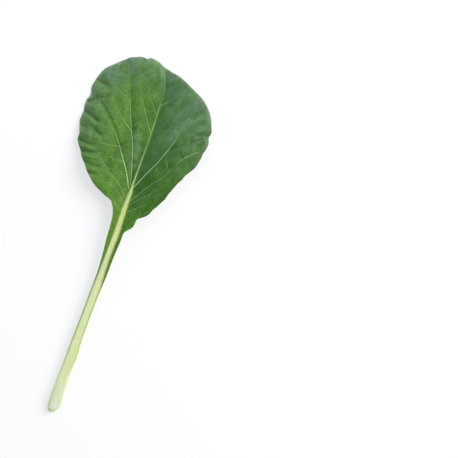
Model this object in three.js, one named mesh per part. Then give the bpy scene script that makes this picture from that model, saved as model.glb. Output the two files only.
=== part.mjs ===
import * as THREE from 'three';

// One picked leaf of tatsoi, lying on a flat surface with its upper face up. Millimetres, +Z up.
// The leaf is worked out with its stalk's cut end near x = 0, y = 0 and its tip towards +Y, and is
// then moved so that the origin is at the middle of its footprint, on the surface that it lies on.

const leafScale = 1;
const bladeThickness = 0.55;
const marginThickness = 0.3;
const stalkHalfWidth = 2.5;
const stalkDepth = 2.4;
const stalkCrown = 0.5;
const rowsPerStation = 3;
const columns = 26;
const archPeaks = { left: 0.65, right: 0.75 };
const archBends = { left: 1.3, right: 1.5 };
const archFalls = { left: 1, right: 0.3 };
const leafGreen = 0x4f7f3c;

// Stations from the stalk's end to the tip: the middle of the rib, then the left and right margins
// of the row that leaves it. Rows of the blade lean forward, as its side veins do.
const stations = [
  { rib: [-1.4, -1.4, 1.9], left: [-2.6, -1.1, 1.9], right: [-0.4, -1.0, 1.9] },
  { rib: [-1.2, 0.6, 2.3], left: [-3.4, 0.4, 2.3], right: [1.2, 1.0, 2.3] },
  { rib: [-1.1, 3.5, 2.4], left: [-3.8, 3.4, 2.4], right: [1.7, 4.1, 2.4] },
  { rib: [-1.1, 12, 2.7], left: [-3.7, 12, 2.7], right: [1.5, 12, 2.7] },
  { rib: [-0.3, 28, 2.9], left: [-2.5, 28, 2.9], right: [1.9, 28, 2.9] },
  { rib: [0.45, 42, 3.0], left: [-1.5, 42, 3.0], right: [2.5, 42, 3.0] },
  { rib: [1.1, 54, 3.3], left: [-0.9, 54, 3.4], right: [3.2, 54, 3.4] },
  { rib: [1.55, 64, 3.9], left: [-0.4, 64, 4.1], right: [4.1, 64, 4.1] },
  { rib: [1.9, 72, 4.7], left: [-0.5, 72, 5.0], right: [4.6, 72, 5.0] },
  { rib: [2.2, 79, 5.5], left: [-0.95, 79.5, 5.9], right: [5.35, 79.5, 5.8] },
  { rib: [2.4, 84, 6.0], left: [-1.1, 86, 6.7], right: [6.0, 83.8, 6.3] },
  { rib: [2.45, 88, 6.5], left: [-1.7, 91.5, 7.1], right: [8.7, 87.8, 7.0] },
  { rib: [2.5, 91.5, 6.6], left: [-3.8, 96, 7.2], right: [9.7, 91.3, 6.9] },
  { rib: [2.5, 95, 6.7], left: [-8.4, 98.1, 7.3], right: [13.8, 95.4, 6.5] },
  { rib: [2.6, 98.5, 6.8], left: [-14.0, 101.4, 7.3], right: [17.6, 102.4, 6.1] },
  { rib: [2.7, 102, 6.8], left: [-18.9, 106.8, 6.6], right: [21.0, 110.3, 5.7] },
  { rib: [2.8, 105.5, 6.7], left: [-23.5, 112.8, 4.2], right: [25.3, 118.7, 5.3] },
  { rib: [3.1, 110, 6.4], left: [-26.6, 119, 2.2], right: [28.5, 126.4, 5.0] },
  { rib: [3.4, 116, 5.8], left: [-28.0, 127, 0.8], right: [29.6, 133.5, 4.6] },
  { rib: [3.7, 123, 4.9], left: [-28.2, 134.5, 0.0], right: [28.9, 139.5, 4.0] },
  { rib: [3.9, 131, 3.8], left: [-27.5, 143, -0.25], right: [26.5, 145.6, 3.0] },
  { rib: [3.9, 139, 2.8], left: [-24.6, 151.2, -0.2], right: [21.7, 150.9, 1.7] },
  { rib: [3.7, 146, 2.0], left: [-18.9, 156.6, 0.0], right: [15.4, 154.5, 0.6] },
  { rib: [2.9, 151.5, 1.4], left: [-12.2, 160.7, 0.3], right: [9.3, 157.6, -0.2] },
  { rib: [1.9, 155.5, 1.0], left: [-6.2, 162.0, 0.5], right: [4.9, 158.9, -0.25] },
  { rib: [1.0, 158.4, 0.7], left: [-2.4, 161.4, 0.5], right: [1.9, 159.5, 0.1] },
  { rib: [0.5, 159.8, 0.6], left: [0.1, 160.0, 0.5], right: [0.8, 159.8, 0.4] },
];

// The scallops of the margin: the station where each is, how far the margin is drawn in there
// (less than 0 where it stands out) and how many stations long it is.
const scallops = {
  left: [
    { at: 2.75, deep: 0.25, long: 0.4 },
    { at: 3.5, deep: 0.3, long: 0.4 },
    { at: 11.7, deep: -0.5, long: 0.2 },
    { at: 12.3, deep: 0.45, long: 0.2 },
    { at: 13.3, deep: 0.3, long: 0.2 },
    { at: 14.8, deep: -0.4, long: 0.3 },
    { at: 15.6, deep: -0.35, long: 0.2 },
    { at: 16.1, deep: 0.2, long: 0.15 },
    { at: 16.7, deep: -0.45, long: 0.25 },
    { at: 17.25, deep: 0.5, long: 0.2 },
    { at: 17.9, deep: -0.3, long: 0.2 },
    { at: 18.5, deep: 0.4, long: 0.25 },
    { at: 19.5, deep: 1.0, long: 0.25 },
    { at: 21.6, deep: 0.3, long: 0.4 },
    { at: 22.6, deep: -0.4, long: 0.2 },
    { at: 23.6, deep: 1.0, long: 0.2 },
  ],
  right: [
    { at: 3.85, deep: -0.45, long: 0.35 },
    { at: 10.2, deep: 0.5, long: 0.5 },
    { at: 12.2, deep: 0.6, long: 0.3 },
    { at: 13.4, deep: 0.4, long: 0.25 },
    { at: 14.2, deep: -0.3, long: 0.2 },
    { at: 15.25, deep: 0.2, long: 0.15 },
    { at: 15.8, deep: 0.5, long: 0.2 },
    { at: 16.3, deep: -0.95, long: 0.35 },
    { at: 17.25, deep: 0.6, long: 0.2 },
    { at: 18.4, deep: 0.8, long: 0.25 },
    { at: 18.8, deep: -0.3, long: 0.2 },
    { at: 24.0, deep: 0.25, long: 0.5 },
  ],
};

// How the rib thins along the leaf: its half width, its depth below the blade and its crown above
// it, and the share of a row's columns that fall on it.
const ribShape = [
  { at: -1.4, half: 1.0, depth: 1.2, crown: 0.3, share: 0.88 },
  { at: 0.6, half: 2.1, depth: 2.1, crown: 0.45, share: 0.88 },
  { at: 3.5, half: stalkHalfWidth, depth: stalkDepth, crown: stalkCrown, share: 0.88 },
  { at: 28, half: 2.2, depth: stalkDepth, crown: stalkCrown, share: 0.88 },
  { at: 54, half: 2.0, depth: stalkDepth, crown: stalkCrown, share: 0.8 },
  { at: 66, half: 1.6, depth: 2.2, crown: 0.45, share: 0.65 },
  { at: 80, half: 1.4, depth: 2.1, crown: 0.4, share: 0.45 },
  { at: 93, half: 1.2, depth: 1.8, crown: 0.3, share: 0.26 },
  { at: 101, half: 1.0, depth: 1.5, crown: 0.25, share: 0.22 },
  { at: 106, half: 0.8, depth: 1.3, crown: 0.15, share: 0.22 },
  { at: 125, half: 0.6, depth: 0.8, crown: 0.05, share: 0.22 },
  { at: 160, half: 0.3, depth: 0.3, crown: 0, share: 0.22 },
];

// How high each half of the blade arches up between the rib and its margin.
const archShape = [
  { at: 86, left: 0, right: 0 },
  { at: 94, left: 0.3, right: 0.5 },
  { at: 102, left: 1.2, right: 0.9 },
  { at: 112, left: 2.6, right: 1.0 },
  { at: 125, left: 3.6, right: 1.0 },
  { at: 139, left: 2.8, right: 1.0 },
  { at: 150, left: 1.4, right: 0.9 },
  { at: 157, left: 0.5, right: 0.4 },
  { at: 160, left: 0.2, right: 0.2 },
];

function line(side) {
  const points = stations.map((station) => new THREE.Vector3(...station[side]));
  return new THREE.CatmullRomCurve3(points, false, 'catmullrom', 0.5);
}

const ribLine = line('rib');
const margins = { left: line('left'), right: line('right') };

function valueAt(table, name, at) {
  const next = table.findIndex((entry) => entry.at > at);
  if (next === 0) return table[0][name];
  if (next < 0) return table[table.length - 1][name];
  const [before, after] = [table[next - 1], table[next]];
  const step = THREE.MathUtils.smoothstep(at, before.at, after.at);
  return THREE.MathUtils.lerp(before[name], after[name], step);
}

// The margin's point on one side, moved towards the rib by its scallops.
function marginPoint(side, along, rib) {
  const margin = margins[side].getPoint(along);
  const inward = rib.clone().sub(margin).normalize();
  const station = along * (stations.length - 1);
  const drawnIn = scallops[side].reduce(
    (sum, { at, deep, long }) => sum + deep * Math.exp(-(((station - at) / long) ** 2)), 0);
  return margin.addScaledVector(inward, drawnIn);
}

// Across a half of the blade: up from the rib to its highest line, then down to the margin. Bends
// over 1 keep it flat beside the rib, and falls tell how much of the rise is lost at the margin.
function archAt(reach, side) {
  const peak = archPeaks[side];
  if (reach < peak) return Math.sin((Math.PI / 2) * (reach / peak)) ** archBends[side];
  return 1 - archFalls[side] * (1 - Math.cos((Math.PI / 2) * ((reach - peak) / (1 - peak))));
}

// A point of the upper face and the leaf's thickness there. along runs from 0 at the stalk's end
// to 1 at the tip, across from -1 at the left margin to 1 at the right one.
function leafPoint(along, across) {
  const side = across < 0 ? 'left' : 'right';
  const rib = ribLine.getPoint(along);
  const row = marginPoint(side, along, rib).sub(rib);
  const rowLength = Math.hypot(row.x, row.y);
  const ribWay = ribLine.getTangent(along);
  const lean = Math.abs(row.x * ribWay.y - row.y * ribWay.x) / rowLength;
  const ribReach = Math.min(valueAt(ribShape, 'half', rib.y) / lean / rowLength, 0.96);
  const share = valueAt(ribShape, 'share', rib.y);
  const crown = valueAt(ribShape, 'crown', rib.y);
  const depth = valueAt(ribShape, 'depth', rib.y);

  const turn = Math.min(Math.abs(across) / share, 1) * (Math.PI / 2);
  const outer = Math.max((Math.abs(across) - share) / (1 - share), 0);
  const reach = THREE.MathUtils.lerp(ribReach * Math.sin(turn), 1, outer);
  const top = rib.clone().addScaledVector(row, reach);
  top.z += valueAt(archShape, side, rib.y) * archAt(reach, side) + crown * Math.cos(turn);

  const blade = THREE.MathUtils.lerp(bladeThickness, marginThickness, reach ** 4);
  return { top, thickness: blade + (depth + crown) * Math.cos(turn) };
}

function leafGeometry() {
  const rows = (stations.length - 1) * rowsPerStation;
  const perFace = (rows + 1) * (columns + 1);
  const positions = new Float32Array(perFace * 2 * 3);
  for (let row = 0; row <= rows; row += 1) {
    for (let column = 0; column <= columns; column += 1) {
      const { top, thickness } = leafPoint(row / rows, (2 * column) / columns - 1);
      const index = row * (columns + 1) + column;
      positions.set([top.x, top.y, top.z], index * 3);
      positions.set([top.x, top.y, top.z - thickness], (perFace + index) * 3);
    }
  }

  const triangles = [];
  const quad = (a, b, c, d) => triangles.push(a, b, c, a, c, d);
  const upper = (row, column) => row * (columns + 1) + column;
  const lower = (row, column) => perFace + upper(row, column);
  for (let row = 0; row < rows; row += 1) {
    for (let column = 0; column < columns; column += 1) {
      quad(upper(row, column), upper(row, column + 1),
        upper(row + 1, column + 1), upper(row + 1, column));
      quad(lower(row, column), lower(row + 1, column),
        lower(row + 1, column + 1), lower(row, column + 1));
    }
    quad(upper(row, 0), upper(row + 1, 0), lower(row + 1, 0), lower(row, 0));
    quad(upper(row, columns), lower(row, columns), lower(row + 1, columns), upper(row + 1, columns));
  }
  for (let column = 0; column < columns; column += 1) {
    quad(upper(0, column), lower(0, column), lower(0, column + 1), upper(0, column + 1));
    quad(upper(rows, column), upper(rows, column + 1), lower(rows, column + 1), lower(rows, column));
  }

  const geometry = new THREE.BufferGeometry();
  geometry.setAttribute('position', new THREE.BufferAttribute(positions, 3));
  geometry.setIndex(triangles);
  geometry.scale(leafScale, leafScale, leafScale);
  geometry.computeBoundingBox();
  const { min, max } = geometry.boundingBox;
  geometry.translate(-(min.x + max.x) / 2, -(min.y + max.y) / 2, -min.z);
  geometry.computeVertexNormals();
  return geometry;
}

const leafMaterial = new THREE.MeshStandardMaterial({ color: leafGreen, roughness: 0.5, metalness: 0 });
const leaf = new THREE.Mesh(leafGeometry(), leafMaterial);
leaf.name = 'tatsoi_leaf';

const tatsoi = new THREE.Group();
tatsoi.name = 'tatsoi';
tatsoi.add(leaf);

export default tatsoi;
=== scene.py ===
import math

import bpy
import numpy as np
from mathutils import Matrix, Vector


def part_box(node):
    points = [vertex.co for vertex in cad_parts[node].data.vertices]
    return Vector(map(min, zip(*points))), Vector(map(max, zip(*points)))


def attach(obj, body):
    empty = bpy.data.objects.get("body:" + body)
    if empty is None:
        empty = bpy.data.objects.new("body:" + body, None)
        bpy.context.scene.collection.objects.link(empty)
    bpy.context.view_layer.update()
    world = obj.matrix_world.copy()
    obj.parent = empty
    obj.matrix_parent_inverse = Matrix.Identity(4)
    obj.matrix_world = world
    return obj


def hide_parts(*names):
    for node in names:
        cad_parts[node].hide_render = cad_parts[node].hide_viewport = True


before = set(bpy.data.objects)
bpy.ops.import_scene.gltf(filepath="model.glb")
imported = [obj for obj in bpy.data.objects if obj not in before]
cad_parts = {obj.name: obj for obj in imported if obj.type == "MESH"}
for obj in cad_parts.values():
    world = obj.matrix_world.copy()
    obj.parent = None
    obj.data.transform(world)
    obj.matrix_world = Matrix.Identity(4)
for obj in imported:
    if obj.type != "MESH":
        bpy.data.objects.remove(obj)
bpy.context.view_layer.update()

leafLow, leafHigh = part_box("tatsoi_leaf")

camera = {
    "aim": (0.0489, 0.0197),    # the spot of the floor in the middle of the view
    "lean": 17.55,              # degrees that the leaf leans clockwise in the view
    "width": 0.20356,           # of floor that the view takes in
    "height": 1.8,
}


def addCamera():
    bpy.ops.object.camera_add(location=(camera["aim"][0], camera["aim"][1], camera["height"]))
    eye = bpy.context.active_object
    eye.name = "camera"
    eye.rotation_euler = (0, 0, math.radians(camera["lean"]))
    eye.data.lens = eye.data.sensor_width * camera["height"] / camera["width"]
    eye.data.clip_end = 10
    bpy.context.scene.camera = eye
    print("camera placed")


addCamera()

# The leaf's form, in millimetres from the cut end of the stalk, x to the right and y to the tip.
# A pair of numbers is for the left and the right half of the blade, unless a note says otherwise.
leaf = {
    "name": "tatsoiLeaf",
    "columns": 144,
    "rows": (12, 74, 250),          # in the stalk's end, the rest of the stalk and the blade
    "rowStations": (0, 2, 12, 26),  # the stations where those stretches begin and end
    "shell": 0.1,                   # between the grid's two faces, before they are shaped
    "floor": -0.55,                 # the surface that the leaf lies on
    "bladeThickness": 0.55,
    "marginThickness": 0.3,
    "ribMost": 0.96,                # the largest part of a row that the rib takes up
    "archPeaks": (0.65, 0.75),      # where each half is highest, from rib to margin
    "archBends": (1.3, 1.5),        # over 1 keep it flat beside the rib
    "archFalls": (1, 0.3),          # how much of the rise is lost at the margin
    "bladeFrom": (88, 100),         # y where the blade's relief sets in, and where it is full
    "middleX": 3,                   # x that parts the veins of the two halves
    "ripples": (0.3, 0.1),          # how far the margin waves up and down
    "rippleReach": 3,               # how soon the waves die out away from the margin
    "ripplePace": 2.7,              # how fast they follow each other, by station
    "grainTurn": 71,                # the way the swellings and streaks run, in degrees from +X
    # soft swellings: how high, how long and how wide, and the seed of their places
    "lumps": [(0.34, (5.5, 2.6), 3), (0.17, (3.0, 1.4), 5)],
    "lumpsFrom": 2.5,               # from the rib, where they are full
    "ridges": (0.5, 0.25),          # how far the main and the side veins stand out below
    # the groove beside the rib, with the y where it sets in and where its left side runs out
    "groove": {"deep": (0.3, 0.15), "wide": 1.1, "from": (100, 108), "leftTo": (125, 140)},
    # the middle of the rib, then the left and right margins of the row that leaves it
    "stations": [
        ((-1.4, -1.4, 1.9), (-2.6, -1.1, 1.9), (-0.4, -1.0, 1.9)),
        ((-1.2, 0.6, 2.3), (-3.4, 0.4, 2.3), (1.2, 1.0, 2.3)),
        ((-1.1, 3.5, 2.4), (-3.8, 3.4, 2.4), (1.7, 4.1, 2.4)),
        ((-1.1, 12, 2.7), (-3.7, 12, 2.7), (1.5, 12, 2.7)),
        ((-0.3, 28, 2.9), (-2.5, 28, 2.9), (1.9, 28, 2.9)),
        ((0.45, 42, 3.0), (-1.5, 42, 3.0), (2.5, 42, 3.0)),
        ((1.1, 54, 3.3), (-0.9, 54, 3.4), (3.2, 54, 3.4)),
        ((1.55, 64, 3.9), (-0.4, 64, 4.1), (4.1, 64, 4.1)),
        ((1.9, 72, 4.7), (-0.5, 72, 5.0), (4.6, 72, 5.0)),
        ((2.2, 79, 5.5), (-0.95, 79.5, 5.9), (5.35, 79.5, 5.8)),
        ((2.4, 84, 6.0), (-1.1, 86, 6.7), (6.0, 83.8, 6.3)),
        ((2.45, 88, 6.5), (-1.7, 91.5, 7.1), (8.7, 87.8, 7.0)),
        ((2.5, 91.5, 6.6), (-3.8, 96, 7.2), (9.7, 91.3, 6.9)),
        ((2.5, 95, 6.7), (-8.4, 98.1, 7.3), (13.8, 95.4, 6.5)),
        ((2.6, 98.5, 6.8), (-14.0, 101.4, 7.3), (17.6, 102.4, 6.1)),
        ((2.7, 102, 6.8), (-18.9, 106.8, 6.6), (21.0, 110.3, 5.7)),
        ((2.8, 105.5, 6.7), (-23.5, 112.8, 4.2), (25.3, 118.7, 5.3)),
        ((3.1, 110, 6.4), (-26.6, 119, 2.2), (28.5, 126.4, 5.0)),
        ((3.4, 116, 5.8), (-28.0, 127, 0.8), (29.6, 133.5, 4.6)),
        ((3.7, 123, 4.9), (-28.2, 134.5, 0.0), (28.9, 139.5, 4.0)),
        ((3.9, 131, 3.8), (-27.5, 143, -0.25), (26.5, 145.6, 3.0)),
        ((3.9, 139, 2.8), (-24.6, 151.2, -0.2), (21.7, 150.9, 1.7)),
        ((3.7, 146, 2.0), (-18.9, 156.6, 0.0), (15.4, 154.5, 0.6)),
        ((2.9, 151.5, 1.4), (-12.2, 160.7, 0.3), (9.3, 157.6, -0.2)),
        ((1.9, 155.5, 1.0), (-6.2, 162.0, 0.5), (4.9, 158.9, -0.25)),
        ((1.0, 158.4, 0.7), (-2.4, 161.4, 0.5), (1.9, 159.5, 0.1)),
        ((0.5, 159.8, 0.6), (0.1, 160.0, 0.5), (0.8, 159.8, 0.4)),
    ],
    # the scallops of the margin: the station, how far it is drawn in and how many stations long
    "leftScallops": [(2.75, 0.25, 0.4), (3.5, 0.3, 0.4), (11.7, -0.5, 0.2), (12.3, 0.45, 0.2),
                     (13.3, 0.3, 0.2), (14.8, -0.4, 0.3), (15.6, -0.35, 0.2), (16.1, 0.2, 0.15),
                     (16.7, -0.45, 0.25), (17.25, 0.5, 0.2), (17.9, -0.3, 0.2), (18.5, 0.4, 0.25),
                     (19.5, 1, 0.25), (21.6, 0.3, 0.4), (22.6, -0.4, 0.2), (23.6, 1, 0.2)],
    "rightScallops": [(3.85, -0.45, 0.35), (10.2, 0.5, 0.5), (12.2, 0.6, 0.3), (13.4, 0.4, 0.25),
                     (14.2, -0.3, 0.2), (15.25, 0.2, 0.15), (15.8, 0.5, 0.2), (16.3, -0.95, 0.35),
                     (17.25, 0.6, 0.2), (18.4, 0.8, 0.25), (18.8, -0.3, 0.2), (24, 0.25, 0.5)],
}

# at each y of the rib: half width, depth under the blade, crown over it, half width of the pale
# line on the upper face, share of the columns
ribShape = np.array([
    (-1.5, 1.0, 1.2, 0.3, 1.0, 0.90),
    (0.4, 2.1, 2.1, 0.45, 2.1, 0.90),
    (3.5, 2.5, 2.4, 0.5, 2.5, 0.90),
    (28, 2.2, 2.4, 0.5, 2.2, 0.90),
    (54, 2.0, 2.4, 0.5, 2.0, 0.80),
    (66, 1.6, 2.2, 0.45, 1.6, 0.65),
    (80, 1.4, 2.1, 0.4, 1.5, 0.45),
    (93, 1.2, 1.8, 0.3, 1.2, 0.25),
    (101, 1.0, 1.5, 0.25, 1.0, 0.15),
    (106, 0.8, 1.3, 0.1, 0.42, 0.12),
    (125, 0.55, 0.8, 0.05, 0.3, 0.09),
    (160, 0.3, 0.3, 0, 0.12, 0.09),
])

# at each y of the rib: how high the left and the right half of the blade arch up
archShape = np.array([
    (86, 0, 0),
    (94, 0.3, 0.5),
    (102, 1.2, 0.9),
    (112, 2.6, 1.0),
    (125, 3.6, 1.0),
    (139, 2.8, 1.0),
    (150, 1.4, 0.9),
    (157, 0.5, 0.4),
    (160, 0.2, 0.2),
])

# Veins, in their order round the fan, so that neighbours turn opposite sides to each other.
# valley is how deep the blade dips along one, reach is how far the dip spreads, to both sides or to
# its left, pale is how clear its line is and width is half its width where it leaves the rib. fade
# is how much of the clearness is lost by its end.
mainVeins = [
    {"valley": 0.3, "reach": 1.0, "pale": 0.6, "fade": 0.4, "width": 0.15,
     "points": [(1.3, 97.5), (-2.5, 101.0), (-6.5, 103.4), (-9.7, 103.4), (-12.7, 106.0), (-13, 108)]},
    {"valley": 0.35, "reach": 1.1, "pale": 0.7, "fade": 0.3, "width": 0.16,
     "points": [(1.6, 99), (-0.5, 102), (-4.7, 105.7), (-9.3, 108.9), (-13.3, 112.5), (-17.5, 116.7),
                (-21, 120)]},
    {"valley": 0.8, "reach": 2.5, "rightReach": 1.6, "pale": 1.3, "fade": 1, "width": 0.25,
     "points": [(1.9, 103.5), (-1.5, 110.7), (-4.7, 115.7), (-8.1, 121.1), (-12.1, 126.7),
                (-16, 131.2), (-21.5, 136.2), (-25, 139)]},
    {"valley": 1.8, "reach": 4.0, "rightReach": 2.4, "pale": 1.1, "fade": 0.85, "width": 0.2,
     "points": [(2.4, 104.5), (0.3, 113.1), (-1.9, 121.3), (-5.3, 130), (-9, 140.2), (-11.2, 147),
                (-13, 151.1), (-15, 156)]},
    {"valley": 0.4, "reach": 2.0, "rightReach": 0.9, "pale": 1.25, "fade": 0.8, "width": 0.18,
     "points": [(3.4, 104.0), (7.4, 112.4), (11.1, 119.5), (14.5, 128.6), (16.6, 136.8),
                (18.8, 145.8), (19.1, 149.5)]},
    {"valley": 0.3, "reach": 1.1, "pale": 0.5, "fade": 0.3, "width": 0.15,
     "points": [(3.4, 97.5), (7.6, 103.9), (11.4, 109), (15, 113.4), (17.9, 119), (21.1, 123.6),
                (26.4, 128.3)]},
    {"valley": 0.3, "reach": 1.0, "pale": 0.4, "width": 0.15,
     "points": [(3.5, 95.8), (7.1, 99.8), (11.1, 103.7), (14.3, 104.5), (18, 107.6)]},
    {"valley": 0.3, "reach": 1.0, "pale": 0.9, "width": 0.15,
     "points": [(3.4, 93.2), (6, 94.9), (9.4, 97.9), (12.2, 100)]},
]

sideVeins = [
    {"valley": 0.15, "reach": 0.9, "pale": 0.9, "fade": 0.3, "width": 0.18,
     "points": [(-9.3, 141), (-11.2, 142), (-15.5, 144.3), (-20, 146.5)]},
    {"valley": 0.21, "reach": 0.9, "pale": 1.1, "width": 0.2,
     "points": [(-5.1, 128.7), (-9.9, 132.4), (-14.7, 137.3), (-17.1, 140.9)]},
    {"valley": 0.18, "reach": 0.7, "rightReach": 1.5, "pale": 1.1, "width": 0.17,
     "points": [(3.8, 138.6), (1.4, 141.7), (-0.5, 144.3), (-2.5, 148), (-4, 150.5)]},
    {"valley": 0.14, "reach": 0.7, "pale": 1.1, "width": 0.18,
     "points": [(3.7, 130), (0, 135.9), (-3.9, 142.5), (-5.6, 146.5), (-7.9, 149.7), (-10.5, 147.6)]},
    {"valley": 0.14, "reach": 0.8, "pale": 0.9, "fade": 0.2, "width": 0.18,
     "points": [(3.9, 143.2), (6.1, 144.8), (7.5, 146.3)]},
    {"valley": 0.22, "reach": 0.9, "pale": 0.8, "width": 0.18,
     "points": [(17.9, 141.3), (19.9, 140.9), (23.2, 143.2), (26.8, 145.2)]},
    {"valley": 0.45, "reach": 1.0, "pale": 0.1, "width": 0.17,
     "points": [(13.8, 125.2), (19.4, 128.9), (22, 131), (26, 133.9)]},
    {"valley": 0.15, "reach": 0.9, "pale": 0.5, "width": 0.18,
     "points": [(19.1, 149.3), (17.4, 150), (15.5, 151)]},
    {"valley": 0.18, "reach": 0.9, "pale": 0.9, "fade": 0.2, "width": 0.18,
     "points": [(-7.7, 120.4), (-13.4, 119.6), (-17, 119.6), (-20.5, 118.6)]},
    {"valley": 0.14, "reach": 0.8, "pale": 0.7, "fade": 0.5, "width": 0.17,
     "points": [(-17, 119.6), (-16.6, 123.1), (-17.2, 126)]},
    {"valley": 0.15, "reach": 0.9, "pale": 1.1, "fade": 0.1, "width": 0.2,
     "points": [(-9.5, 114.8), (-11.4, 114.2), (-14, 113.3)]},
    {"valley": 0.14, "reach": 0.8, "pale": 0.7, "fade": 0.4, "width": 0.2,
     "points": [(-1.3, 109.2), (-3.4, 109.4), (-6.9, 110.4)]},
    {"valley": 0.14, "reach": 0.8, "pale": 0.7, "width": 0.17,
     "points": [(-12.1, 126.7), (-15.4, 127.2), (-18.5, 127.2)]},
    {"valley": 0.11, "reach": 0.8, "pale": 0.75, "fade": 0.3, "width": 0.17,
     "points": [(-13, 151.1), (-14.8, 151.6), (-18.1, 151.2), (-19.4, 148.5)]},
    {"valley": 0.15, "reach": 0.8, "pale": 1.0, "fade": 0.2, "width": 0.19,
     "points": [(20.5, 122.9), (22.1, 124.9), (24.6, 127.2), (26.4, 128.4)]},
]

# the finest veins that show, too small to dip the blade by much
fineVein = {"valley": 0.06, "reach": 0.6, "pale": 0.6, "width": 0.16}

fineLines = [
    [(-10.2, 128.7), (-9.2, 131.2), (-8.1, 132.4)],
    [(-4.6, 131.4), (-3.2, 132.7), (-1.8, 134)],
    [(-11.4, 157.5), (-9.9, 158.2), (-8.7, 157.9)],
    [(-16.3, 134.3), (-15, 134.9), (-14.1, 134.7)],
    [(-4.3, 114.5), (-6, 114.3), (-7.8, 114.4)],
    [(-9.5, 114.9), (-8.7, 113.9), (-7.3, 113.1)],
    [(-9.9, 107.3), (-8, 107.2), (-6.8, 107.1)],
    [(-18.2, 106.5), (-16.5, 106.6), (-15.4, 107.2)],
    [(14.7, 119.4), (15.5, 117.8), (16.5, 116.9)],
    [(10.9, 116), (12.2, 113.2)],
    [(19.1, 149.1), (21, 150)],
    [(14.8, 151.3), (16.9, 152.7)],
    [(-4.2, 155.9), (-1.8, 157.4)],
    [(-12, 102.7), (-10.6, 102.8), (-9.7, 103.4)],
    [(-22.6, 143.4), (-20.4, 142.7)],
    [(11.1, 103.2), (12.7, 105.8), (14.2, 107.9)],
]

# dents, where the blade is drawn in, and two low ridges, with a valley under 0
dents = [
    {"valley": 1.2, "reach": 0.6, "points": [(-26.3, 145.9), (-24.1, 145.3), (-21.8, 144.8)]},
    {"valley": 0.84, "reach": 0.6, "points": [(-24.0, 138.3), (-21.8, 138.3), (-19.2, 140.2)]},
    {"valley": 1.32, "reach": 0.7, "points": [(-27.2, 135.2), (-25.5, 136.4), (-24, 137.8)]},
    {"valley": 1.56, "reach": 0.7, "points": [(-27.8, 131.4), (-23.8, 129.8), (-20.3, 128.2)]},
    {"valley": 0.84, "reach": 0.8, "points": [(-26.5, 124), (-25, 124.2)]},
    {"valley": 1.08, "reach": 0.6, "points": [(-20.4, 124), (-18.5, 123.2), (-16.8, 122.4)]},
    {"valley": 1.32, "reach": 0.7, "points": [(-26.5, 118.4), (-23.2, 117.6), (-19.9, 117.4)]},
    {"valley": 1.32, "reach": 0.7, "points": [(-24.2, 113.6), (-20.6, 113.9), (-18, 114.4)]},
    {"valley": 0.96, "reach": 0.7, "points": [(-21, 109.5), (-18.3, 108.9), (-14, 108.9)]},
    {"valley": 0.84, "reach": 0.7, "points": [(-18.2, 105.2), (-15, 105.3), (-13, 105.2)]},
    {"valley": 0.48, "reach": 0.5, "points": [(18.7, 125.9), (19.7, 124.2), (20.9, 123.0)]},
    {"valley": 0.6, "reach": 1.0, "points": [(29.3, 136.2), (26.5, 136), (24, 135)]},
    {"valley": 0.48, "reach": 1.0, "points": [(21.6, 130.9), (21.4, 133.5)]},
    {"valley": 0.54, "reach": 0.5,
     "points": [(-12.1, 126.7), (-16, 131.2), (-19.9, 135), (-21.5, 136.2)]},
    {"valley": 0.48, "reach": 0.5, "points": [(13.8, 125.2), (19.4, 128.9), (22, 131), (26, 133.9)]},
    {"valley": 0.48, "reach": 0.5, "points": [(18, 141.2), (19.9, 140.9), (21.5, 141.8)]},
    {"valley": -0.72, "reach": 2.8, "rightReach": 0.6,
     "points": [(3.9, 139), (3.7, 146), (2.9, 151.5), (1.9, 155.5), (0.6, 160)]},
    {"valley": -0.96, "reach": 5.0, "rightReach": 2.0,
     "points": [(20, 149), (18.4, 145.8), (16, 136.8), (13.7, 128), (10, 119), (6.5, 112.4)]},
    {"valley": 0.72, "reach": 1.4, "points": [(-8.8, 161.3), (-8.4, 158.5), (-8.6, 155)]},
]

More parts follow.
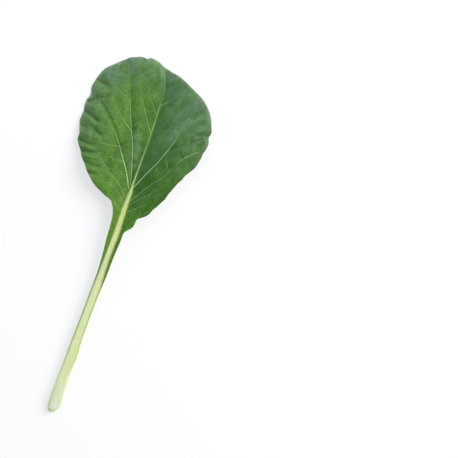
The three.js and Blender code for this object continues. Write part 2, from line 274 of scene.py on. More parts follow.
# patches of painted light and shade, fresher green where lit and deeper green where shaded, partly the
# blade's own uneven tone, and of painted grey-blue glints, which also thicken the wax coat there
lightShadePatches = [
    {"at": (5.2, 86.5), "size": 3.5, "paintedLightShade": 0.6, "paintedGlintAndWax": 0},
    {"at": (5.8, 92.7), "size": 4, "paintedLightShade": 0.15, "paintedGlintAndWax": -0.4},
    {"at": (-3, 99.5), "size": 2.2, "paintedLightShade": -0.4, "paintedGlintAndWax": -0.5},
    {"at": (-2.1, 103.5), "size": 2.8, "paintedLightShade": -0.6, "paintedGlintAndWax": -0.5},
    {"at": (8.8, 105.3), "size": 4, "paintedLightShade": -0.5, "paintedGlintAndWax": -0.7},
    {"at": (-9.2, 105.8), "size": 1.4, "paintedLightShade": -0.5, "paintedGlintAndWax": -0.2},
    {"at": (-15.6, 110.4), "size": 3.2, "paintedLightShade": 0.7, "paintedGlintAndWax": 0.35},
    {"at": (-9.5, 111.6), "size": 1.4, "paintedLightShade": -0.6, "paintedGlintAndWax": -0.2},
    {"at": (-1.4, 112.5), "size": 1.6, "paintedLightShade": -0.35, "paintedGlintAndWax": 0},
    {"at": (0.5, 113.8), "size": 1.2, "paintedLightShade": 0.6, "paintedGlintAndWax": 1.5},
    {"at": (-19.9, 114.9), "size": 2.4, "paintedLightShade": 0.75, "paintedGlintAndWax": 0.1},
    {"at": (-14.6, 117.3), "size": 1.7, "paintedLightShade": -0.6, "paintedGlintAndWax": 0},
    {"at": (0.1, 118), "size": 1.3, "paintedLightShade": 0.6, "paintedGlintAndWax": 1.5},
    {"at": (5.2, 119.5), "size": 2.2, "paintedLightShade": -0.4, "paintedGlintAndWax": -0.4},
    {"at": (2.4, 120.2), "size": 0.9, "paintedLightShade": -0.8, "paintedGlintAndWax": -0.8},
    {"at": (-3.8, 120.5), "size": 1.8, "paintedLightShade": -0.3, "paintedGlintAndWax": 0},
    {"at": (-0.4, 122.2), "size": 1.5, "paintedLightShade": 0.6, "paintedGlintAndWax": 1.6},
    {"at": (-13.9, 122.4), "size": 3, "paintedLightShade": 0.1, "paintedGlintAndWax": 0.25},
    {"at": (-25.1, 122.5), "size": 2.2, "paintedLightShade": -0.25, "paintedGlintAndWax": -0.2},
    {"at": (2.2, 124.3), "size": 1.2, "paintedLightShade": -0.8, "paintedGlintAndWax": -0.8},
    {"at": (-18.3, 124.7), "size": 2.5, "paintedLightShade": -0.2, "paintedGlintAndWax": 0},
    {"at": (-1.4, 126.7), "size": 1.8, "paintedLightShade": 0.5, "paintedGlintAndWax": 1.3},
    {"at": (1.7, 128.8), "size": 1.2, "paintedLightShade": -0.6, "paintedGlintAndWax": -0.6},
    {"at": (10.6, 129.2), "size": 4, "paintedLightShade": 0.2, "paintedGlintAndWax": 0.25},
    {"at": (12.6, 130.5), "size": 1.1, "paintedLightShade": 0.4, "paintedGlintAndWax": 0.9},
    {"at": (-20.3, 131), "size": 2.6, "paintedLightShade": 0.45, "paintedGlintAndWax": 0},
    {"at": (16.6, 133.3), "size": 1, "paintedLightShade": -0.7, "paintedGlintAndWax": -0.4},
    {"at": (25.4, 133.9), "size": 2.5, "paintedLightShade": -0.25, "paintedGlintAndWax": 0},
    {"at": (14.2, 134), "size": 1.3, "paintedLightShade": 0.4, "paintedGlintAndWax": 1},
    {"at": (18.7, 136), "size": 6, "paintedLightShade": 0, "paintedGlintAndWax": 0.3},
    {"at": (15.5, 137.7), "size": 1.3, "paintedLightShade": 0.4, "paintedGlintAndWax": 1.2},
    {"at": (-27.1, 140.6), "size": 1.6, "paintedLightShade": 0.6, "paintedGlintAndWax": 1.2},
    {"at": (19.3, 141), "size": 2.5, "paintedLightShade": 0, "paintedGlintAndWax": 0.3},
    {"at": (4.6, 142), "size": 2, "paintedLightShade": 0, "paintedGlintAndWax": 0.4},
    {"at": (10.8, 143.2), "size": 4, "paintedLightShade": 0.3, "paintedGlintAndWax": 0.4},
    {"at": (-15.2, 144.3), "size": 3.5, "paintedLightShade": 0.35, "paintedGlintAndWax": 0.1},
    {"at": (-0.2, 145.3), "size": 2, "paintedLightShade": 0, "paintedGlintAndWax": 0.5},
    {"at": (20.7, 148.7), "size": 3, "paintedLightShade": -0.2, "paintedGlintAndWax": 0},
    {"at": (9.5, 154.5), "size": 3.5, "paintedLightShade": -0.7, "paintedGlintAndWax": -0.5},
    {"at": (-13.5, 156.5), "size": 4, "paintedLightShade": 0, "paintedGlintAndWax": -0.4},
]

# soft swellings of the blade, long along their turn, in degrees from +X
puffs = [
    {"at": (-21.5, 147.2), "long": 3.5, "wide": 1.3, "turn": -40, "lift": 0.5},
    {"at": (-26.1, 143.8), "long": 1.6, "wide": 1.5, "turn": 0, "lift": 0.5},
    {"at": (-22.5, 140.8), "long": 2.8, "wide": 1.7, "turn": 12, "lift": 0.8},
    {"at": (-25.4, 133.5), "long": 3.0, "wide": 1.3, "turn": 15, "lift": 0.5},
    {"at": (-23.4, 127.5), "long": 3.5, "wide": 1.4, "turn": -20, "lift": 0.5},
    {"at": (-23.2, 121.3), "long": 3.2, "wide": 1.4, "turn": -8, "lift": 0.6},
    {"at": (-21.5, 115.6), "long": 3.2, "wide": 1.0, "turn": 0, "lift": 0.55},
    {"at": (-20.0, 112.0), "long": 3.2, "wide": 1.1, "turn": 5, "lift": 0.55},
    {"at": (-17.0, 107.0), "long": 3.0, "wide": 1.1, "turn": 0, "lift": 0.45},
    {"at": (-0.2, 120.0), "long": 5.5, "wide": 0.9, "turn": 100, "lift": 0.25},
    {"at": (18.0, 120.4), "long": 2.8, "wide": 1.2, "turn": 50, "lift": 0.5},
    {"at": (0.2, 156.4), "long": 4.5, "wide": 1.1, "turn": -68, "lift": 0.35},
]


def throughPoints(points, places):
    # a smooth curve through the points, place k being point k
    points = np.asarray(points, float)
    before, after = 2 * points[0] - points[1], 2 * points[-1] - points[-2]
    padded = np.concatenate([[before], points, [after]])
    start = np.clip(np.floor(places).astype(int), 0, len(points) - 2)
    t = (places - start)[:, None]
    a, b, c, d = (padded[start + k] for k in range(4))
    leave, arrive = (c - a) / 2, (d - b) / 2
    return (b + leave * t + (3 * (c - b) - 2 * leave - arrive) * t**2
            + (2 * (b - c) + leave + arrive) * t**3)


def smooth(low, high, value):
    t = np.clip((value - low) / (high - low), 0, 1)
    return t * t * (3 - 2 * t)


def lumps(spots, size, seed):
    # soft uneven swellings, from -1 to 1, as large as the two numbers of size
    count = 128
    heights = np.random.default_rng(seed).uniform(-1, 1, (count, count))
    place = spots / size + count / 2
    start = np.floor(place).astype(int)
    x, y = smooth(0, 1, place - start).T
    corners = [(i, j) for j in (0, 1) for i in (0, 1)]
    a, b, c, d = (heights[(start[:, 0] + i) % count, (start[:, 1] + j) % count] for i, j in corners)
    return (a + (b - a) * x) * (1 - y) + (c + (d - c) * x) * y


def shapeAt(table, column, y):
    place = np.clip(np.searchsorted(table[:, 0], y, side="right"), 1, len(table) - 1)
    before, after = table[place - 1], table[place]
    step = smooth(before[:, 0], after[:, 0], y)
    return before[:, column] + (after[:, column] - before[:, column]) * step


def archAt(reach, isLeft):
    # across a half of the blade: up from the rib to its highest line, then down to the margin
    peak = np.where(isLeft, *leaf["archPeaks"])
    lost = 1 - np.cos(math.pi / 2 * (reach - peak) / (1 - peak))
    falling = 1 - lost * np.where(isLeft, *leaf["archFalls"])
    rising = np.sin(math.pi / 2 * np.minimum(reach / peak, 1)) ** np.where(isLeft, *leaf["archBends"])
    return np.where(reach < peak, rising, falling)


def besideLine(spots, points):
    # signed distance of each spot to a smooth line, and how far along the line it is, 0 to 1
    line = throughPoints(points, np.linspace(0, len(points) - 1, 5 * len(points)))
    away = np.full(len(spots), np.inf)
    part = np.zeros(len(spots))
    side = np.ones(len(spots))
    for k in range(len(line) - 1):
        step = line[k + 1] - line[k]
        t = np.clip((spots - line[k]) @ step / (step @ step), 0, 1)
        gap = spots - line[k] - t[:, None] * step
        reach = np.hypot(gap[:, 0], gap[:, 1])
        closer = reach < away
        away[closer] = reach[closer]
        part[closer] = ((k + t) / (len(line) - 1))[closer]
        side[closer] = np.where(step[0] * gap[:, 1] > step[1] * gap[:, 0], 1, -1)[closer]
    return away * side, part


def layVeins(spots, veins, tail, isLeft=None):
    # How far the lines draw the blade down at each spot, the deepest leading softly, and for the
    # material the offset from the nearest line, in its own widths, and how clear it is there.
    # tail is how much of a valley's depth is lost by its end. With isLeft, a line only dips the
    # half of the blade that it ends in.
    far = np.full(len(spots), 50.0)
    nearest, second, marked = far.copy(), far.copy(), far.copy()
    dip, clear = np.zeros(len(spots)), np.zeros(len(spots))
    for k, vein in enumerate(veins):
        offset, part = besideLine(spots, vein["points"])
        away = np.abs(offset)
        reach = np.where(offset > 0, vein["reach"], vein.get("rightReach", vein["reach"]))
        deep = vein["valley"] * (1 - tail * part) * np.exp(-np.hypot(offset, 0.2) / reach)
        endsLeft = vein["points"][-1][0] < leaf["middleX"]
        own = 1 if isLeft is None else isLeft == endsLeft
        dip += own * deep**3
        second = np.minimum(second, np.maximum(away, nearest))
        closer = away < nearest
        nearest[closer] = away[closer]
        width = vein.get("width", 1) * (1 - 0.5 * part)
        marked[closer] = (offset * (-1) ** k / width)[closer]
        shown = vein.get("pale", 0) * (1 - vein.get("fade", 0.7) * smooth(0.1, 0.9, part))
        clear[closer] = shown[closer]
    # nothing shows where two lines are equally near, unless they meet there, nor far from them all
    apart = np.maximum(smooth(0.2, 0.6, second - nearest), 1 - smooth(0.3, 0.5, nearest))
    clear *= apart * (1 - smooth(1.0, 1.8, nearest))
    return np.cbrt(dip), marked, clear


def scallopDepth(scallops, places):
    return sum(deep * np.exp(-((places - at) / long) ** 2) for at, deep, long in scallops)


def puffLift(spots):
    lift = np.zeros(len(spots))
    for puff in puffs:
        turn = math.radians(puff["turn"])
        away = spots - puff["at"]
        along = (away[:, 0] * math.cos(turn) + away[:, 1] * math.sin(turn)) / puff["long"]
        aside = (away[:, 1] * math.cos(turn) - away[:, 0] * math.sin(turn)) / puff["wide"]
        lift += puff["lift"] * np.exp(-along**2 - aside**2)
    return lift


def layLightShade(spots):
    # adds up the patches of painted light and shade and of painted glints
    paintedLightShade, paintedGlintAndWax = np.zeros(len(spots)), np.zeros(len(spots))
    for patch in lightShadePatches:
        here = np.exp(-((spots - patch["at"])**2).sum(1) / patch["size"] ** 2)
        paintedLightShade += patch["paintedLightShade"] * here
        paintedGlintAndWax += patch["paintedGlintAndWax"] * here
    return paintedLightShade, paintedGlintAndWax


def leafRows(places, isLeft):
    # At each vertex: the middle of the rib, the way from there to the margin, the length of that
    # way in plan, and how squarely it leaves the rib, 1 at a right angle.
    ribs, lefts, rights = (np.array([row[k] for row in leaf["stations"]], float) for k in range(3))
    rib = throughPoints(ribs, places)
    margin = np.where(isLeft[:, None], throughPoints(lefts, places), throughPoints(rights, places))
    inward = rib - margin
    inward /= np.linalg.norm(inward, axis=1)[:, None]
    drawnIn = np.where(isLeft, scallopDepth(leaf["leftScallops"], places),
                       scallopDepth(leaf["rightScallops"], places))
    row = margin + inward * drawnIn[:, None] - rib
    rowLength = np.hypot(row[:, 0], row[:, 1])
    step = 0.01
    ahead = np.minimum(places + step, len(ribs) - 1)
    ribWay = throughPoints(ribs, ahead) - throughPoints(ribs, places - step)
    ribWay /= np.linalg.norm(ribWay[:, :2], axis=1)[:, None]
    square = np.abs(row[:, 0] * ribWay[:, 1] - row[:, 1] * ribWay[:, 0]) / rowLength
    return rib, row, rowLength, square


def bladeRelief(plan, places, y, isLeft, fromRib, fromMargin):
    # how far the upper face is lifted at each vertex, how far the veins stand out below the lower
    # face, and what the material needs there
    onBlade = smooth(*leaf["bladeFrom"], y)
    mainDip, mainOffset, mainClear = layVeins(plan, mainVeins, tail=0.4, isLeft=isLeft)
    mainDip *= 1 - np.exp(-fromRib / 0.8)   # the valleys begin beside the rib
    sideDip, sideOffset, sideClear = layVeins(plan, sideVeins, tail=0.5)
    finest = [{**fineVein, "points": line} for line in fineLines]
    fineDip, fineOffset, fineClear = layVeins(plan, finest, tail=0.5)
    dentDip = layVeins(plan, dents, tail=0.2)[0]

    groove = leaf["groove"]
    leftDeep, rightDeep = groove["deep"]
    ribDip = np.where(isLeft, leftDeep * (1 - smooth(*groove["leftTo"], y)), rightDeep)
    ribDip *= np.exp(-fromRib / groove["wide"]) * smooth(*groove["from"], y)
    wave = np.where(isLeft, *leaf["ripples"]) * np.exp(-fromMargin / leaf["rippleReach"])
    wave *= np.sin(places * leaf["ripplePace"])
    turn = math.radians(leaf["grainTurn"])
    along, aside = (math.cos(turn), math.sin(turn)), (-math.sin(turn), math.cos(turn))
    turned = np.stack([plan @ along, plan @ aside], 1)
    uneven = sum(high * lumps(turned, size, seed) for high, size, seed in leaf["lumps"])
    uneven *= smooth(0, leaf["lumpsFrom"], fromRib)
    lift = (puffLift(plan) + wave + uneven - mainDip - sideDip - fineDip - dentDip) * onBlade - ribDip

    mainRidge, sideRidge = leaf["ridges"]
    ridge = mainRidge * mainClear * np.exp(-mainOffset**2)
    ridge += sideRidge * sideClear * np.exp(-sideOffset**2)
    paintedLightShade, paintedGlintAndWax = layLightShade(plan)
    marks = {
        "veinOffset": mainOffset,
        "veinClear": mainClear * onBlade,
        "sideOffset": sideOffset,
        "sideClear": sideClear * onBlade,
        "fineOffset": fineOffset,
        "fineClear": fineClear * onBlade,
        "dent": dentDip * onBlade,
        "marginOffset": fromMargin,
        # painted light and shade, and painted glints with their wax
        "paintedLightShade": paintedLightShade,
        "paintedGlintAndWax": paintedGlintAndWax,
    }
    return lift, ridge * onBlade, marks


def leafForm(places, across, isLower):
    # where each vertex lies, given by its row and column, and what the material needs there
    isLeft = across < 0
    rib, row, rowLength, square = leafRows(places, isLeft)
    y = rib[:, 1]
    half, depth, crown, pale, share = (shapeAt(ribShape, k, y) for k in range(1, 6))
    ribReach = np.minimum(half / square / rowLength, leaf["ribMost"])
    turn = np.minimum(np.abs(across) / share, 1) * math.pi / 2
    outer = np.maximum((np.abs(across) - share) / (1 - share), 0)
    reach = ribReach * np.sin(turn)
    reach += (1 - reach) * outer

    arch = np.where(isLeft, shapeAt(archShape, 1, y), shapeAt(archShape, 2, y))
    spots = rib + row * reach[:, None]
    spots[:, 2] += arch * archAt(reach, isLeft) + crown * np.cos(turn)
    fromRib = reach * rowLength * square
    fromMargin = (1 - reach) * rowLength * square
    lift, below, marks = bladeRelief(spots[:, :2], places, y, isLeft, fromRib, fromMargin)

    thickness = leaf["bladeThickness"] + (leaf["marginThickness"] - leaf["bladeThickness"]) * reach**4
    thickness += (depth + crown) * np.cos(turn) + below
    top = np.maximum(spots[:, 2] + lift, leaf["floor"] + leaf["marginThickness"])
    spots[:, 2] = np.where(isLower, np.maximum(top - thickness, leaf["floor"]), top)
    marks["ribOffset"] = fromRib * np.sign(across)
    marks["paleHalf"] = pale
    marks["underside"] = isLower.astype(float)
    return spots, marks


def addLeaf():
    rows, columns = sum(leaf["rows"]), leaf["columns"]
    bpy.ops.object.select_all(action="DESELECT")
    bpy.ops.mesh.primitive_grid_add(x_subdivisions=columns, y_subdivisions=rows, size=2)
    piece = bpy.context.active_object
    piece.name = piece.data.name = leaf["name"]
    shell = piece.modifiers.new("shell", "SOLIDIFY")
    shell.thickness = leaf["shell"]
    shell.offset = -1
    bpy.ops.object.modifier_apply(modifier="shell")

    flat = np.empty(len(piece.data.vertices) * 3, np.float32)
    piece.data.vertices.foreach_get("co", flat)
    flat = flat.reshape(-1, 3).astype(float)
    rowNumber = (flat[:, 1] + 1) / 2 * rows
    places = np.interp(rowNumber, np.cumsum((0,) + leaf["rows"]), leaf["rowStations"])
    across = np.round(flat[:, 0], 6)    # so that the middle column is at 0
    made, marks = leafForm(places, across, flat[:, 2] < -leaf["shell"] / 2)

    low, high = made.min(0), made.max(0)
    scale = (leafHigh.y - leafLow.y) / (high[1] - low[1])
    middle = np.array([(low[0] + high[0]) / 2, (low[1] + high[1]) / 2, low[2]])
    place = np.array([(leafLow.x + leafHigh.x) / 2, (leafLow.y + leafHigh.y) / 2, leafLow.z])
    made = (made - middle) * scale + place
    piece.data.vertices.foreach_set("co", made.astype(np.float32).ravel())
    for name, values in marks.items():
        mark = piece.data.attributes.new(name, "FLOAT", "POINT")
        mark.data.foreach_set("value", np.asarray(values, np.float32))
    piece.data.update()
    bpy.ops.object.shade_smooth_by_angle(angle=math.radians(50))
    print("leaf shaped:", len(piece.data.polygons), "faces")
    return piece


class Wire:
    def __init__(self, tree, socket=None):
        self.tree, self.socket = tree, socket

    def node(self, kind, settings=None, inputs=None, output=0):
        made = self.tree.nodes.new(kind)
        for name, value in (settings or {}).items():
            setattr(made, name, value)
        for name, value in (inputs or {}).items():
            if isinstance(value, Wire):
                self.tree.links.new(value.socket, made.inputs[name])
            else:
                made.inputs[name].default_value = value
        return Wire(self.tree, made.outputs[output] if made.outputs else None)

    def math(self, operation, *values):
        return self.node("ShaderNodeMath", {"operation": operation}, dict(enumerate(values)))

    def __add__(self, other):
        return self.math("ADD", self, other)

    def __sub__(self, other):
        return self.math("SUBTRACT", self, other)

    def __rsub__(self, other):
        return self.math("SUBTRACT", other, self)

    def __mul__(self, other):
        return self.math("MULTIPLY", self, other)

    def __truediv__(self, other):
        return self.math("DIVIDE", self, other)

    def __rtruediv__(self, other):
        return self.math("DIVIDE", other, self)

    __radd__ = __add__
    __rmul__ = __mul__

    def abs(self):
        return self.math("ABSOLUTE", self)

    def within(self, low, high):
        # 0 up to low and 1 from high
        settings = {"interpolation_type": "SMOOTHSTEP", "clamp": True}
        inputs = {"Value": self, "From Min": low, "From Max": high}
        return self.node("ShaderNodeMapRange", settings, inputs)

    def bell(self, width):
        # 1 at 0, and a third of it at the width to either side
        ratio = self / width
        return self.math("EXPONENT", ratio * ratio * -1)

    def mix(self, share, first, second):
        # the colour sockets of this node are its inputs 6 and 7 and its output 2
        return self.node("ShaderNodeMix", {"data_type": "RGBA"}, {0: share, 6: first, 7: second}, 2)

    def mark(self, name):
        # output 2 is the attribute as one number
        return self.node("ShaderNodeAttribute", {"attribute_name": name}, output=2)


def screen(red, green, blue):
    # a colour as a paint chart gives it, 0 to 255, made linear
    def linear(value):
        value = value / 255
        return value / 12.92 if value < 0.04045 else ((value + 0.055) / 1.055) ** 2.4
    return (linear(red), linear(green), linear(blue), 1)


leafFinish = {
    "green": screen(76, 119, 32),
    "deepGreen": screen(44, 88, 24),
    "freshGreen": screen(99, 146, 44),
    "underGreen": screen(122, 156, 96),
    "paintedSheen": screen(108, 141, 106),     # painted sheen: the grey-blue that the waxy skin reflects, painted near the margin and in patches
    # painted grey sheen along the margin's edge
    "greySheen": screen(156, 164, 148),
    "veinPale": screen(182, 210, 132),
    "waxyVein": screen(172, 200, 156),
    "sideVeinPale": screen(146, 184, 100),
    "ribPale": screen(222, 229, 150),
    "ribFibre": screen(196, 204, 132),
    "wingRim": screen(120, 150, 50),
    "stalkPale": screen(226, 234, 182),
    "stalkRim": screen(212, 228, 134),
    "edgeLine": screen(138, 156, 70),   # a thin line down both edges of the stalk
    "endPale": screen(231, 238, 208),
    "endRim": screen(222, 233, 184),
    "cutFace": screen(232, 234, 226),
    "roughness": 0.28,
    "bumpDepth": 0.00012,
    "cutMiddle": -78.4,                 # of the cut face, in millimetres from the leaf's middle
}

# Stretches along the leaf, in millimetres from its middle towards its tip: from where a look sets
# in to where it is full. The names that start with past are for looks that end there.
zones = {
    "pastCut": (-81.6, -79.4),
    "pastEnd": (-84, -60),
    "pastEndRim": (-75, -50),
    "edgeLine": (-72, -34),
    "wings": (-38, -22),
    "wingRim": (-30, -8),
    "ribYellow": (-20, 12),
    "ribWide": (-8, 6),
    "ribNarrow": (22, 30),
    "ribGreen": (-4, 24),
    "ribFaint": (28, 46),
    "ribFainter": (58, 66),
    "pastFoot": (5, 14),
    "pastLeftFoot": (18, 34),
    # the next seven stretches hold painted light, shade and sheen
    "shadedRight": (12, 20),
    "foldShade": (28, 36),
    "foldLight": (66, 72),
    "shadedMargin": (14, 24),
    "pastShadedMargin": (56, 66),
    "greySheenMargin": (34, 50),
    "paintedSheen": (25, 45),
    "marginWax": (25, 50),
    "rightWax": (40, 60),
    "lessRightWax": (62, 72),
    "tipWax": (64, 76),
}


def newMaterial(name):
    material = bpy.data.materials.new(name)
    material.use_nodes = True
    material.node_tree.nodes.clear()
    return material, Wire(material.node_tree)


def leafTextures(w, spot):
    def noise(scale, detail=2.0, vector=spot):
        return w.node("ShaderNodeTexNoise", inputs={"Vector": vector, "Scale": scale, "Detail": detail})

    def stretched(longer, turn=0.0):
        return w.node("ShaderNodeMapping", {"vector_type": "TEXTURE"},
                      {"Vector": spot, "Rotation": (0, 0, turn), "Scale": longer})

    def cells(scale):
        warp = w.node("ShaderNodeTexNoise", inputs={"Vector": spot, "Scale": scale * 0.8}, output=1)
        warped = w.node("ShaderNodeVectorMath", {"operation": "MULTIPLY_ADD"},
                        {0: warp, 1: (0.6 / scale,) * 3, 2: spot})
        return w.node("ShaderNodeTexVoronoi", {"feature": "DISTANCE_TO_EDGE", "voronoi_dimensions": "2D"},
                      {"Vector": warped, "Scale": scale})

    return {
        "patches": noise(60),
        "ripples": noise(260),
        "mottle": noise(900, 3),
        "net": cells(420).bell(0.09),
        "fineNet": cells(1000).bell(0.12),
        "streaks": noise(480, vector=stretched((6, 1, 1), math.radians(leaf["grainTurn"]))),
        "fibres": noise(1100, vector=stretched((1, 25, 1))),
    }


def bladeColour(w, y, ribOffset, right, texture, vein, side):
    f = leafFinish
    margin = w.mark("marginOffset")
    green = w.mix(texture["patches"].within(0.35, 0.65), f["deepGreen"], f["freshGreen"])
    green = w.mix(0.5, green, f["green"])

    # painted shade: deeper on the right, where the blade turns away from the light, above all beside the
    # rib; fresher at the foot and low on the left
    green = w.mix(right * 0.55, green, f["deepGreen"])
    leftFoot = (1 - y.within(*zones["pastLeftFoot"])) * (1 - right)
    green = w.mix(leftFoot * 0.8, green, f["freshGreen"])
    green = w.mix((1 - y.within(*zones["pastFoot"])) * 0.6, green, f["freshGreen"])
    shadeNearRib = right * ribOffset.bell(7) * y.within(*zones["shadedRight"])
    green = w.mix(shadeNearRib * 0.6, green, f["deepGreen"])
    # patches of painted light and shade
    green = w.mix(w.mark("paintedLightShade"), green, f["freshGreen"])
    green = w.mix(w.mark("paintedLightShade") * -1, green, f["deepGreen"])

    # painted sheen near the margin and in patches, painted shade in the fold right of the rib with
    # painted light on the fold's left side, a painted shade line along the lower right margin and a
    # painted grey sheen along the margin
    streaky = texture["streaks"].within(0.3, 0.6) * 0.3 + 0.15
    sheenNearMargin = margin.bell(9) * y.within(*zones["paintedSheen"]) * streaky
    green = w.mix(sheenNearMargin + w.mark("paintedGlintAndWax") * 0.5, green, f["paintedSheen"])
    foldShade = (ribOffset - 1.3).bell(0.9) * y.within(*zones["foldShade"]) * 0.45
    marginShade = margin.bell(0.7) * right * y.within(*zones["shadedMargin"])
    marginShade = marginShade * (1 - y.within(*zones["pastShadedMargin"])) * 0.6
    green = w.mix(foldShade + marginShade, green, f["deepGreen"])
    foldLight = (ribOffset + 1.3).bell(1.1) * y.within(*zones["foldLight"])
    green = w.mix(foldLight * 0.5, green, f["paintedSheen"])
    green = w.mix(margin.bell(0.9) * y.within(*zones["greySheenMargin"]) * 0.45, green, f["greySheen"])

    # fine uneven tone, then painted shade in the dents and beside the veins
    green = w.mix(texture["streaks"].within(0.35, 0.7) * (right * 0.4 + 0.15), green, f["deepGreen"])
    green = w.mix(texture["mottle"].within(0.3, 0.7) * 0.3, green, f["deepGreen"])
    nets = texture["net"] * 0.11 + texture["fineNet"] * 0.09
    green = w.mix(nets * (1 - right * 0.6), green, f["sideVeinPale"])
    shadeBesideVeins = w.mark("veinClear") * w.mark("veinOffset").bell(3)
    shadeBesideVeins = shadeBesideVeins + w.mark("sideClear") * w.mark("sideOffset").bell(3) * 0.7
    green = w.mix(w.mark("dent").within(0.15, 0.8) * 0.5 + shadeBesideVeins * 0.8, green, f["deepGreen"])

    green = w.mix(w.mark("underside") * 0.75, green, f["underGreen"])
    green = w.mix(side * 0.8, green, f["sideVeinPale"])
    return w.mix(vein * 0.9, green, w.mix(right * 0.6, f["veinPale"], f["waxyVein"]))


def ribColour(w, y, ribOffset, texture):
    # The rib is pale in its middle, greener to its sides and paler all over down the stalk. Comes
    # with how far its colour covers the blade's.
    f = leafFinish
    wider = y.within(*zones["ribWide"]) * (1 - y.within(*zones["ribNarrow"]))
    across = (ribOffset - wider * 0.2).abs() / (w.mark("paleHalf") + wider * 0.25)
    rim = w.mix(y.within(*zones["pastEndRim"]), f["endRim"], f["stalkRim"])
    rim = w.mix(y.within(*zones["wingRim"]), rim, f["wingRim"])
    core = w.mix(y.within(*zones["ribYellow"]), f["stalkPale"], f["ribPale"])
    core = w.mix(1 - y.within(*zones["pastEnd"]), core, f["endPale"])
    core = w.mix(y.within(*zones["ribGreen"]), core, f["veinPale"])
    colour = w.mix(across.within(0.35, 0.9), core, rim)
    colour = w.mix(texture["fibres"].within(0.35, 0.75) * 0.3, colour, f["ribFibre"])
    edge = w.mark("marginOffset").bell(0.5) * y.within(*zones["edgeLine"])
    colour = w.mix(edge * 0.9, colour, f["edgeLine"])
    colour = w.mix((1 - y.within(*zones["pastCut"])) * 0.8, colour, f["stalkRim"])
    cut = (ribOffset - 0.6).bell(1.1) * (y - f["cutMiddle"]).bell(1.2)
    colour = w.mix(cut * 0.9, colour, f["cutFace"])

    faint = y.within(*zones["ribFaint"]) * 0.6
    isRib = (1 - across.within(0.85, 1.2)) * (1 - faint - y.within(*zones["ribFainter"]) * 0.35)
    return colour, w.math("MAXIMUM", isRib, 1 - y.within(*zones["wings"]))


def waxCoat(w, y, ribOffset, right):
    wax = w.mark("marginOffset").bell(8) * y.within(*zones["marginWax"]) * 0.6
    rightWax = right * ribOffset.within(2, 8) * y.within(*zones["rightWax"])
    wax = wax + rightWax * (1 - y.within(*zones["lessRightWax"]) * 0.7) * 0.35
    return wax + w.mark("paintedGlintAndWax") * 0.4 + y.within(*zones["tipWax"]) * 0.35 + 0.12


def leafMaterial():
    material, w = newMaterial("leafTissue")
    spot = w.node("ShaderNodeTexCoord", output=3)   # the object's own coordinates
    y = w.node("ShaderNodeSeparateXYZ", inputs={"Vector": spot}, output=1) * 1000
    ribOffset = w.mark("ribOffset")
    right = ribOffset.within(-0.5, 2.0)
    texture = leafTextures(w, spot)
    vein = w.mark("veinClear") * w.mark("veinOffset").bell(1)
    fine = w.mark("fineClear") * w.mark("fineOffset").bell(1)
    side = w.math("MAXIMUM", w.mark("sideClear") * w.mark("sideOffset").bell(1), fine)

    green = bladeColour(w, y, ribOffset, right, texture, vein, side)
    pale, isRib = ribColour(w, y, ribOffset, texture)
    height = texture["net"] * -0.4 + texture["fineNet"] * -0.25 + texture["mottle"] * 0.5
    height = height + texture["ripples"] * 2.5 + texture["streaks"] * (right + 1)
    height = height + vein * -1.2 + side * -0.8
    bump = w.node("ShaderNodeBump", inputs={
        "Strength": 0.9, "Distance": leafFinish["bumpDepth"], "Height": height})
    shader = w.node("ShaderNodeBsdfPrincipled", inputs={
        "Base Color": w.mix(isRib, green, pale),
        "Roughness": texture["mottle"] * 0.06 + w.mark("underside") * 0.15 + leafFinish["roughness"],
        "Normal": bump,
        "IOR": 1.36,
        "Coat Weight": waxCoat(w, y, ribOffset, right),
        "Coat Roughness": 0.22,
        "Coat IOR": 1.5,
        "Subsurface Weight": 0.1,
        "Subsurface Scale": 0.001,
        "Subsurface Radius": (0.6, 1.0, 0.25),
    })
    w.node("ShaderNodeOutputMaterial", inputs={"Surface": shader})
    return material


piece = addLeaf()
piece.data.materials.append(leafMaterial())
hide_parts("tatsoi_leaf")
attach(piece, "root")
print("leaf dressed")

# A white table under a weak sky. The shares of the lights and the sky add up to about 1, where a
# flat surface shows its own colour.
studio = {
    "floorSize": 6.0,
    "floorDrop": 0.0001,
    "floorGrey": 0.98,
    "floorGlow": 0.64,          # how much of the floor's white doesn't take the shadow
    "skyColour": (0.94, 0.99, 1.07, 1),
    "skyTop": 0.10,             # straight up
    "skyEdge": 0.8,             # at the horizon
}

# The key light from the right throws the shadow. The larger one beside it and the fill light from
# the upper left give the glints. way is the way to a light as the camera sees it.
lights = {
    "keyLight": {"share": 0.56, "way": (0.66, 0.24, 0.71), "size": 0.8, "colour": (1.04, 1.0, 0.95),
                 "glints": False},
    "sideLight": {"share": 0.09, "way": (0.72, 0.30, 0.62), "size": 1.3, "colour": (0.92, 1.0, 1.12),
                  "glints": True},
    "fillLight": {"share": 0.17, "way": (-0.34, 0.56, 0.76), "size": 0.9, "colour": (0.80, 0.98, 1.28),
                  "glints": True},
}


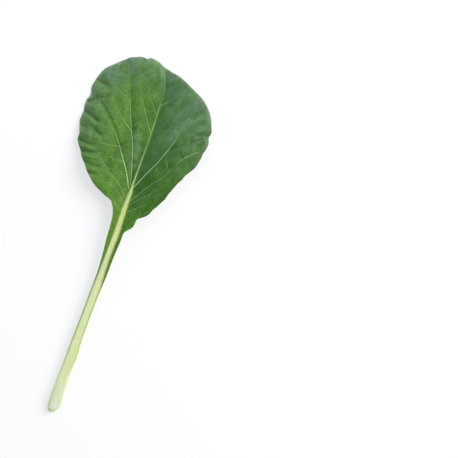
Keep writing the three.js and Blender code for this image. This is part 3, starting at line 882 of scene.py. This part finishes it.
def addFloor():
    bpy.ops.object.select_all(action="DESELECT")
    bpy.ops.mesh.primitive_plane_add(size=studio["floorSize"], location=(0, 0, 0))
    floor = bpy.context.active_object
    floor.name = "floor"
    floor.location.z = leafLow.z - studio["floorDrop"]
    material, w = newMaterial("floorPaint")
    grey = studio["floorGrey"]
    paint = w.node("ShaderNodeBsdfDiffuse", inputs={"Color": (grey, grey, grey, 1)})
    white = w.node("ShaderNodeEmission", inputs={"Color": (1, 1, 1, 1), "Strength": 1})
    seen = w.node("ShaderNodeLightPath", output=0) * studio["floorGlow"]
    both = w.node("ShaderNodeMixShader", inputs={0: seen, 1: paint, 2: white})
    w.node("ShaderNodeOutputMaterial", inputs={"Surface": both})
    floor.data.materials.append(material)
    print("floor laid")


def addSky():
    world = bpy.data.worlds.new("studioWorld")
    world.use_nodes = True
    world.node_tree.nodes.clear()
    w = Wire(world.node_tree)
    way = w.node("ShaderNodeTexCoord")
    down = 1 - w.node("ShaderNodeSeparateXYZ", inputs={"Vector": way}, output=2)
    level = down * down * (studio["skyEdge"] - studio["skyTop"]) + studio["skyTop"]
    # at least 1 where the camera sees it, so that the background stays white
    level = w.math("MAXIMUM", level, w.node("ShaderNodeLightPath", output=0))
    sky = w.node("ShaderNodeBackground", inputs={"Color": studio["skyColour"], "Strength": level})
    w.node("ShaderNodeOutputWorld", inputs={"Surface": sky})
    bpy.context.scene.world = world


def addLight(name, share, way, size, colour, glints):
    middle = Vector(((leafLow.x + leafHigh.x) / 2, (leafLow.y + leafHigh.y) / 2, 0))
    way = Matrix.Rotation(math.radians(camera["lean"]), 3, "Z") @ Vector(way).normalized()
    bpy.ops.object.light_add(type="AREA", location=middle + way)
    light = bpy.context.active_object
    light.name = name
    light.rotation_euler = way.to_track_quat("Z", "Y").to_euler()
    # as strong as it takes to light a flat spot, a metre away, by its share
    spread = size / math.hypot(2, size)
    light.data.energy = share * math.pi**2 / way.z * size**2 / (4 * spread * math.atan(spread))
    light.data.color = colour
    light.data.shape = "SQUARE"
    light.data.size = size
    light.visible_camera = False
    light.visible_glossy = glints


addFloor()
addSky()
for name, light in lights.items():
    addLight(name, **light)
bpy.context.scene.view_settings.view_transform = "Standard"
print("studio lit")
